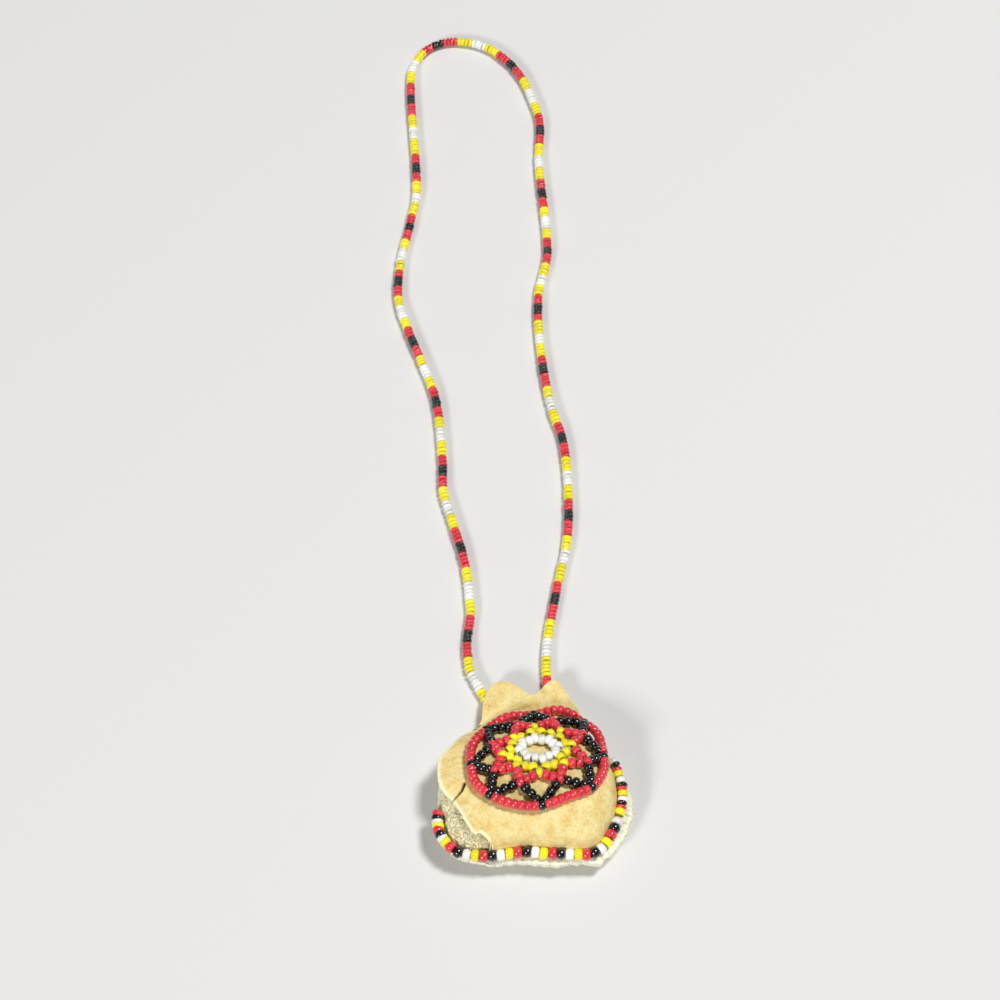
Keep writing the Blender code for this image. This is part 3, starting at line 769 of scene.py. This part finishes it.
def make_thread_material():
    """Waxed white thread with a fine twist."""
    made, tree, shader = new_material("waxed_thread", (0.95, 0.91, 0.78), 0.7)
    place = add_node(tree, "TexCoord").outputs["Object"]
    fibres = add_node(tree, "TexNoise", Vector=place, Scale=6000.0, Detail=3.0).outputs["Fac"]
    colour = ramp_between(tree, fibres, [(0.3, (0.80, 0.76, 0.60)), (0.65, (0.95, 0.92, 0.78))])
    tree.links.new(colour, shader.inputs["Base Color"])
    raised = add_node(tree, "Bump", Height=fibres, Strength=0.5, Distance=0.1 * MM)
    tree.links.new(raised.outputs[0], shader.inputs["Normal"])
    return made


waxed_thread = make_thread_material()


def arms(foot, tip, other_foot, beads):
    """Bead places up one arm from a foot to its tip and down the other, evenly spaced."""
    shares = (np.arange(beads) + 1)[:, None] / (beads + 1)
    up = foot + (tip - foot) * shares
    down = other_foot + (tip - other_foot) * shares[::-1]
    return np.vstack([up, tip, down])


def lengths_along(line):
    """Length along a line of places from its start to each of them."""
    return np.concatenate([[0], np.cumsum(np.linalg.norm(np.diff(line, axis=0), axis=1))])


def places_along(line, wanted):
    """Places at the wanted lengths along a line."""
    length = lengths_along(line)
    return np.column_stack([np.interp(wanted, length, column) for column in line.T])


def rim_runs():
    """Bead places of each rim run, at even steps along a smooth closed curve through the
    vees' tips and the runs' middles."""
    points = np.stack([VEE_TIPS, RIM_MIDDLES], axis=1).reshape(-1, 2)
    curve = smooth_curve(points, closed=True, per_span=RIM_STEPS)
    curve = np.vstack([curve, curve[0]])
    runs = []
    for start in range(0, len(curve) - 1, 2 * RIM_STEPS):
        part = curve[start:start + 2 * RIM_STEPS + 1]
        wanted = np.linspace(0, lengths_along(part)[-1], RIM_BEADS + 2)[1:-1]
        runs.append(places_along(part, wanted))
    return runs


def tack(place):
    """Stitch beside a net place: up out of the leather, over the thread and down again."""
    reach, rise = np.array(TACK_BENDS).T
    out = unit(place - RING_MIDDLE)
    x, y = (place + TACK_ASIDE * np.array([-out[1], out[0]]) + reach[:, None] * out).T
    return np.column_stack([x, y, front_base(x, y) + LEATHER_THICKNESS + rise])


ring_turns = (np.arange(RING_BEADS) + 0.5) * 2 * math.pi / RING_BEADS
ring_pull = 1 + 0.07 * np.cos(ring_turns * RING_BEADS / 2 - math.pi / 2)
ring_places = RING_MIDDLE + polar(ring_pull, ring_turns)[:, :2] * RING_HALVES
net = {"ring": [strung(ring_places, ring_places[-1], ring_places[0])],
       "star": [], "petal": [], "vee": [], "rim": []}
for number, (foot, other_foot) in enumerate(STAR_FEET):
    star, next_star = STAR_TIPS[number], STAR_TIPS[(number + 1) % len(STAR_TIPS)]
    petal, last_petal = PETAL_TIPS[number], PETAL_TIPS[number - 1]
    inward = (RING_MIDDLE - star) * 0.25
    net["star"].append(strung([foot, star, other_foot], foot + inward, other_foot + inward))
    net["petal"].append(strung(arms(star, petal, next_star, PETAL_ARM_BEADS), star, next_star))
    net["vee"].append(strung(arms(last_petal, VEE_TIPS[number], petal, VEE_ARM_BEADS),
                             last_petal, petal))
for number, places in enumerate(rim_runs()):
    net["rim"].append(strung(places, VEE_TIPS[number], VEE_TIPS[(number + 1) % len(VEE_TIPS)]))

net_threads = []
for kind, colour, stem, seed in NET_ROUNDS:
    runs = net[kind]
    nodes = [f"rosette_{stem}_{number + 1}" for number in range(len(runs))]
    if kind == "ring":
        nodes = ["rosette_centre_ring"]
    colours = [colour] * sum(len(run[0]) for run in runs)
    bead_piece(f"rosette_{kind}_beads", runs, colours, nodes, seed)
    net_threads += [run[2] for run in runs]
net_threads += [tack(place) for place in np.vstack([VEE_TIPS, RIM_MIDDLES])]
thread_piece("rosette_thread", net_threads, NET_THREAD)


# Beaded edging: one bead strung on each whip stitch, with its hole along the seam, in the
# order white, black, red, yellow. The thread goes over the raw edge between the beads.
# Angles round the pouch of the beads on the right, then the angles between which the rest
# stand evenly and how many there are
EDGE_RIGHT = (10.2, 8.0, 4.4, 1.1, -3.2, -6.8, -9.0, -12.2, -16.6, -18.8, -21.3, -24.2,
              -30.0, -34.3, -39.0, -44.1, -49.1)
EDGE_CORNERS = (-52.8, -139.4, -157.4)
EDGE_BEADS = (18, 8)
EDGE_INSET = 2.3
EDGE_SEAT = 0.4
EDGE_LENGTH = 2.85
EDGE_DIAMETER = 3.9
EDGE_ORDER = ("white", "black", "red", "yellow")
CROWDED_BEADS = 12
CROWDED_LENGTHS = (2.3, 1.3, 1.3, 2.3)
STITCH_THREAD = 0.24


def edge_line():
    """Bead centres along the seam: listed one by one on the right, where they crowd, then at
    equal steps along the bottom and the lower left."""
    turns = [np.radians(EDGE_RIGHT)]
    for start, end, count in zip(EDGE_CORNERS[:-1], EDGE_CORNERS[1:], EDGE_BEADS):
        angle = np.radians(np.linspace(start, end, 80))
        length = lengths_along(polar(parting(angle) + EDGE_INSET, angle))
        turns.append(np.interp(np.linspace(0, length[-1], count + 1)[:-1], length, angle))
    angle = np.concatenate(turns)
    height = seam_top(angle) + EDGE_SEAT + BEAD_DIAMETER / 2
    centres = polar(parting(angle) + EDGE_INSET, angle, height)
    centres[:, 2] += swell(centres)
    return centres + np.random.default_rng(41).normal(0, 0.1, centres.shape)


edge_centres = edge_line()
edge_number = np.arange(len(edge_centres))
edge_colours = [EDGE_ORDER[number % len(EDGE_ORDER)] for number in edge_number]
crowded = edge_number < CROWDED_BEADS
edge_lengths = np.where(crowded, np.resize(CROWDED_LENGTHS, len(edge_number)), EDGE_LENGTH)
bead_piece("edging_beads", [(edge_centres, unit(np.gradient(edge_centres, axis=0)))], edge_colours,
           ["edge_beading"], 42, length=edge_lengths,
           diameter=np.where(crowded, BEAD_DIAMETER, EDGE_DIAMETER))


def whip_stitches():
    """Each stitch leaves a bead's hole, lies out over the seam allowance and turns under
    its raw edge."""
    lines = []
    for before, after in zip(edge_centres[:-1], edge_centres[1:]):
        place = (before + after) / 2
        angle = math.atan2(place[1], place[0])
        start = np.hypot(*place[:2])
        edge = seam_reach(angle)
        top = seam_top(angle)
        reaches, heights = np.array([
            (start, place[2] - 0.3), (start + 0.9, top + 0.45),
            ((start + edge) / 2 + 0.3, top + 0.05), (edge - 0.5, top + 0.03),
            (edge + 0.1, top - 0.5), (edge + 0.1, top - 1.8),
            (edge - 1.0, top - SEAM_THICKNESS - 0.2)]).T
        bend = polar(reaches, angle, heights)
        pull = swell(bend)
        bend += polar(np.where(reaches > edge, pull, 0.0), angle, pull)
        line = np.vstack([before * 0.7 + place * 0.3, bend])
        lines.append(smooth_curve(line, closed=False, per_span=4))
    return lines


thread_piece("whip_stitch_thread", whip_stitches(), STITCH_THREAD)


# Neck strand: small glass discs strung close on a limp thread, in the order yellow, white,
# yellow, red, black, red, from a knot behind the left ear round to one behind the right.
STRAND_BEAD_LENGTH = 1.5
STRAND_BEAD_DIAMETER = 3.456
STRAND_THREAD = 0.7
KNOT_THREAD = 1.0
KNOT_SIZE = (0.36, 0.36, 0.5)
KNOT_CLEARANCE = 1.9
STRAND_PITCH = 1.48
STRAND_HEIGHT = 1.9
STRAND_ROUTE = (
    (-15.4, 33.6), (-17.4, 37.4), (-20.0, 43.4), (-21.1, 53.5), (-20.0, 66.5), (-22.1, 85.6),
    (-26.2, 101.0), (-29.8, 114.5), (-30.4, 129.5), (-32.9, 153.1), (-38.2, 169.9), (-43.2, 183.7),
    (-47.3, 197.8), (-47.2, 214.5), (-43.6, 235.3), (-41.6, 253.5), (-44.7, 299.5),
    (-43.3, 313.5), (-38.0, 321.5), (-29.6, 325.1), (-19.6, 324.1), (-11.0, 319.1), (-3.0, 309.5),
    (2.2, 297.1), (5.6, 282.5), (5.0, 262.9), (7.6, 231.5), (7.6, 217.0),
    (4.8, 203.5), (4.2, 189.5), (5.8, 168.5), (8.8, 150.1), (12.6, 136.5), (14.2, 117.5),
    (13.6, 94.5), (10.0, 76.4), (6.0, 52.0), (6.2, 36.0),
)
# Middles of the black blocks along the strand, one beyond each of its ends, and where the
# other blocks end on the way from one black middle to the next
BLACK_MIDDLES = (
    -6.5, 29.2, 64.8, 97.2, 127.2, 154.8, 182.9, 208.7, 236.9, 272.2, 304.7, 338.1, 373.8, 405.2,
    433.0, 459.8, 487.2, 518.3, 551.0, 584.8, 623.0, 659.0,
)
STRAND_ORDER = ("black", "red", "yellow", "white", "yellow", "red", "black")
BLOCK_ENDS = (0.07, 0.225, 0.405, 0.595, 0.775, 0.93)


def knot_middle(side):
    """Middle of a knot's CAD node, in millimetres from the pouch's middle."""
    low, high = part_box(f"strand_knot_{side}")
    return (np.array(low + high) / 2 - pouch_middle) / MM


left_knot, right_knot = knot_middle("left"), knot_middle("right")
route = np.column_stack([np.array(STRAND_ROUTE), np.full(len(STRAND_ROUTE), STRAND_HEIGHT)])


def beyond_knot(knot, neighbour):
    """Where the strand leaves its knot, on the way to the next route point."""
    return knot + unit(neighbour - knot) * KNOT_CLEARANCE


strand_line = smooth_curve(
    np.vstack([beyond_knot(left_knot, route[0]), route, beyond_knot(right_knot, route[-1])]),
    closed=False, per_span=24)
strand_length = lengths_along(strand_line)[-1]
strand_count = int(strand_length / STRAND_PITCH)
strand_at = (np.arange(strand_count) + 0.5) * strand_length / strand_count
strand_centres = places_along(strand_line, strand_at)
strand_ahead = unit(np.gradient(strand_centres, axis=0))


def strand_colours():
    """Colour of each bead: its share of the way from one black block's middle to the next
    falls in one of the blocks that the shares in BLOCK_ENDS divide."""
    place = np.interp(strand_at, BLACK_MIDDLES, np.arange(len(BLACK_MIDDLES)))
    return [STRAND_ORDER[number] for number in np.searchsorted(BLOCK_ENDS, place % 1.0)]


strand_rng = np.random.default_rng(51)
strand_centres[:, :2] += strand_rng.normal(0, 0.06, (strand_count, 2))
strand = bead_piece("strand_beads", [(strand_centres, strand_ahead)], strand_colours(),
                    ["neck_strand"], 52, length=STRAND_BEAD_LENGTH,
                    diameter=STRAND_BEAD_DIAMETER, around=10)


def make_knot(side, knot, turn):
    """Tied knot as a trefoil: a tube along a line that goes twice round while it swings in
    and out, and up and down, three times."""
    t = np.linspace(0, 2 * math.pi, 61)
    line = [np.sin(t) + 2 * np.sin(2 * t), np.cos(t) - 2 * np.cos(2 * t), -np.sin(3 * t)]
    x, y, z = (np.column_stack(line) * KNOT_SIZE).T
    spun = np.column_stack([x * math.cos(turn) - y * math.sin(turn),
                            x * math.sin(turn) + y * math.cos(turn), z])
    return thread_piece(f"strand_knot_{side}_thread", [spun + knot], KNOT_THREAD,
                        [f"strand_knot_{side}"], sides=8)


knots = [make_knot("left", left_knot, 0.4), make_knot("right", right_knot, 1.3)]
strand_thread = thread_piece(
    "strand_thread", [np.vstack([left_knot, strand_line[::6], right_knot])], STRAND_THREAD)


# Floor and light: a plain pale table top, one soft lamp high at the upper right, a weaker
# one across from it and an even pale sky.
FLOOR_COLOUR = (0.75, 0.74, 0.73)
SKY_COLOUR = (0.95, 0.97, 1.0)
SKY_STRENGTH = 0.17
FLOOR_HALF = 6.0
LAMP_TARGET = np.array([0.0, 0.05, 0.0])
floor_corners = np.array([(-1, -1, 0), (1, -1, 0), (1, 1, 0), (-1, 1, 0)]) * FLOOR_HALF
floor_mesh = bpy.data.meshes.new("floor")
floor_mesh.from_pydata(floor_corners.tolist(), [], [(0, 1, 2, 3)])
floor = bpy.data.objects.new("floor", floor_mesh)
bpy.context.scene.collection.objects.link(floor)
floor_mesh.materials.append(new_material("pale_floor", FLOOR_COLOUR, 0.9)[0])


def add_lamp(name, place, size, power):
    """A square soft lamp that faces the bag."""
    data = bpy.data.lights.new(name, "AREA")
    data.size = size
    data.energy = power
    lamp = bpy.data.objects.new(name, data)
    bpy.context.scene.collection.objects.link(lamp)
    lamp.location = place
    way = LAMP_TARGET - place
    lamp.rotation_euler = (math.atan2(math.hypot(way[0], way[1]), -way[2]), 0.0,
                           math.atan2(way[1], way[0]) - math.pi / 2)


add_lamp("key_lamp", (1.10, 0.35, 2.75), 0.6, 64.0)
add_lamp("fill_lamp", (-1.55, -2.30, 1.75), 0.7, 56.0)

world = bpy.data.worlds.new("studio")
bpy.context.scene.world = world
world.use_nodes = True
sky = world.node_tree.nodes["Background"]
sky.inputs["Color"].default_value = (*SKY_COLOUR, 1.0)
sky.inputs["Strength"].default_value = SKY_STRENGTH
